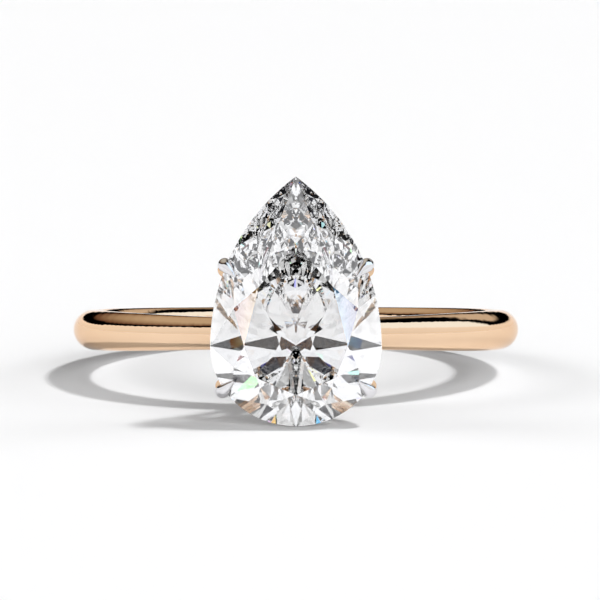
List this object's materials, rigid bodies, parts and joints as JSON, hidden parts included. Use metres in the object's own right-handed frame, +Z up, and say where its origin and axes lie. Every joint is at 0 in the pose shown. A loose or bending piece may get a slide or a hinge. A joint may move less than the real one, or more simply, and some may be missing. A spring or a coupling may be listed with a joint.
{
  "type": "engagement ring",
  "caption": "Rose gold ring with a pear-cut stone in a wire basket with white metal claws, lying on its side.",
  "frame": {"origin": "centre of the footprint, on the ground plane that the ring lies on", "axes": "+Z up from the ground, X across the hoop, -Y towards the viewer out of the stone's table, so +Y runs from the stone to the back of the band"},
  "size_m": [0.0202, 0.0249, 0.01],
  "materials": {
    "rose_gold": "polished",
    "white_metal": "polished",
    "diamond": "polished facets"
  },
  "bodies": {
    "root": {"base_ring": "rose_gold", "claw_lower_left": "white_metal", "claw_lower_right": "white_metal", "claw_upper_left": "white_metal", "claw_upper_right": "white_metal", "gallery_rail": "rose_gold", "pear_stone": "diamond", "prong_lower_left": "rose_gold", "prong_lower_right": "rose_gold", "prong_upper_left": "rose_gold", "prong_upper_right": "rose_gold", "shank": "rose_gold"}
  },
  "joints": []
}
